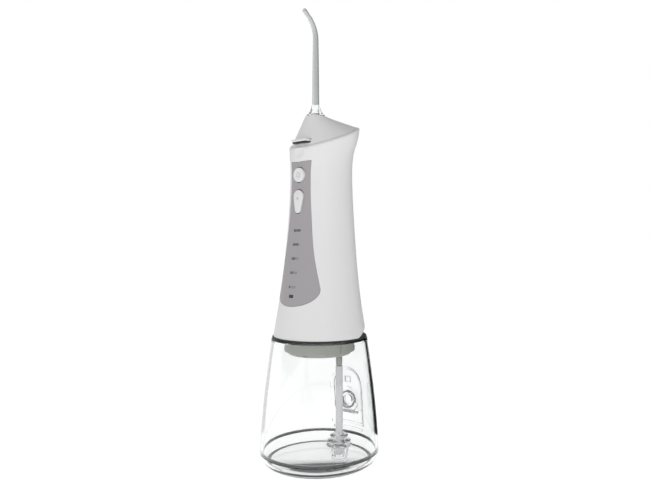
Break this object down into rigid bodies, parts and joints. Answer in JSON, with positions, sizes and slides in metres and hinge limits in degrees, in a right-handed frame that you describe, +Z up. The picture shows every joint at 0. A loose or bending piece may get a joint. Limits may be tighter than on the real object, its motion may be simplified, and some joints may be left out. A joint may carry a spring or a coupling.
{
  "type": "water flosser",
  "caption": "Cordless hand-held water flosser: clear water tank below, tapering white handle with a control panel, swivelling curved nozzle on top.",
  "frame": {"origin": "centre of the tank's foot, on the surface it stands on", "axes": "+Z up along the tank, buttons and nozzle tip face -Y, filling port towards +Y"},
  "size_m": [0.0738, 0.0738, 0.2795],
  "materials": {
    "clear_plastic": "clear moulded",
    "clear_seal": "translucent silicone",
    "dark_rubber": "matte",
    "casing": "satin moulded",
    "cap": "satin moulded",
    "panel": "satin",
    "lens": "smoked",
    "button": "satin moulded",
    "flap_rubber": "matte",
    "collar": "satin moulded",
    "hose": "translucent silicone",
    "frame": "moulded",
    "board": "solder mask",
    "black_plastic": "moulded",
    "cell_wrap": "shrink wrapped",
    "gear_nylon": "moulded",
    "brass": "machined",
    "steel": "plated"
  },
  "bodies": {
    "tank": {"tank_shell": "clear_plastic", "tank_base": "clear_plastic", "tank_base_seal": "dark_rubber", "fill_hinge_pin": "steel"},
    "gasket": {"tank_seal": "dark_rubber"},
    "handle": {"body_shell": "casing", "head_cap": "cap", "front_panel": "panel", "battery_lens": "lens", "collar": "collar", "collar_oring": "dark_rubber", "suction_stub": "hose", "suction_hose": "hose", "strainer": "clear_plastic", "chassis": "frame", "circuit_board": "board", "power_switch": "black_plastic", "mode_switch": "black_plastic", "indicator_board": "board", "light_guide": "clear_plastic", "battery": "cell_wrap", "battery_tab_bottom": "steel", "battery_tab_top": "steel", "motor_can": "steel", "gear_axle": "steel", "pump_cylinder": "frame", "pump_head": "frame", "inlet_valve": "dark_rubber", "outlet_valve": "dark_rubber", "inlet_hose": "hose", "outlet_hose": "hose", "charge_socket": "steel", "nozzle_socket": "frame", "release_spring": "steel", "base_screw_1": "steel", "base_screw_2": "steel", "base_screw_3": "steel", "base_screw_4": "steel", "socket_screw_1": "steel", "socket_screw_2": "steel"},
    "filling_door": {"fill_cover": "clear_plastic", "fill_plug_seal": "clear_seal"},
    "power_key": {"power_button": "button"},
    "mode_key": {"mode_button": "button"},
    "release_key": {"release_button": "button"},
    "nozzle_turntable": {"nozzle_seat": "cap"},
    "nozzle_tip": {"nozzle": "clear_plastic", "nozzle_oring": "dark_rubber"},
    "charging_flap": {"charge_cover": "flap_rubber"},
    "motor_rotor": {"motor_pinion": "brass"},
    "crank": {"drive_gear": "gear_nylon"},
    "piston": {"piston_yoke": "gear_nylon", "plunger": "steel", "piston_seal": "dark_rubber"}
  },
  "joints": [
    {"name": "tank_twist", "type": "hinge", "parent": "tank", "child": "gasket", "pos_m": [0, 0, 0.0787], "axis": [0, 0, 1], "range_deg": [0, 35]},
    {"name": "handle_lift", "type": "slide", "parent": "gasket", "child": "handle", "axis": [0, 0, 1], "range_m": [0, 0.08]},
    {"name": "fill_cover_hinge", "type": "hinge", "parent": "tank", "child": "filling_door", "pos_m": [-0.00492, 0.03498, 0.0229], "axis": [-0.9903, -0.1392, 0], "range_deg": [0, 110]},
    {"name": "power_press", "type": "slide", "parent": "handle", "child": "power_key", "axis": [0, 1, 0], "range_m": [0, 0.0005], "stiffness_N_per_m": 800},
    {"name": "mode_press", "type": "slide", "parent": "handle", "child": "mode_key", "axis": [0, 1, 0], "range_m": [0, 0.0005], "stiffness_N_per_m": 800},
    {"name": "release_press", "type": "slide", "parent": "handle", "child": "release_key", "axis": [0, 1, 0], "range_m": [0, 0.0012], "stiffness_N_per_m": 600, "deforming": ["release_spring"]},
    {"name": "nozzle_swivel", "type": "hinge", "parent": "handle", "child": "nozzle_turntable", "pos_m": [0, -0.0035, 0.2155], "axis": [0, 0, 1], "continuous": true},
    {"name": "nozzle_pull", "type": "slide", "parent": "nozzle_turntable", "child": "nozzle_tip", "axis": [0, 0, 1], "range_m": [0, 0.022]},
    {"name": "charge_flap_hinge", "type": "hinge", "parent": "handle", "child": "charging_flap", "pos_m": [0, 0.0281, 0.0875], "axis": [-1, 0, 0], "range_deg": [0, 100]},
    {"name": "crank_spin", "type": "hinge", "parent": "handle", "child": "crank", "pos_m": [0, 0.0086, 0.1014], "axis": [0, 0, 1], "continuous": true},
    {"name": "motor_spin", "type": "hinge", "parent": "handle", "child": "motor_rotor", "pos_m": [0, -0.0042, 0.1014], "axis": [0, 0, 1], "continuous": true},
    {"name": "piston_stroke", "type": "slide", "parent": "handle", "child": "piston", "axis": [0, 1, 0], "range_m": [-0.0015, 0.0015]}
  ],
  "couplings": [
    {"joint": "motor_spin", "follows": "crank_spin", "ratio": -3}
  ]
}
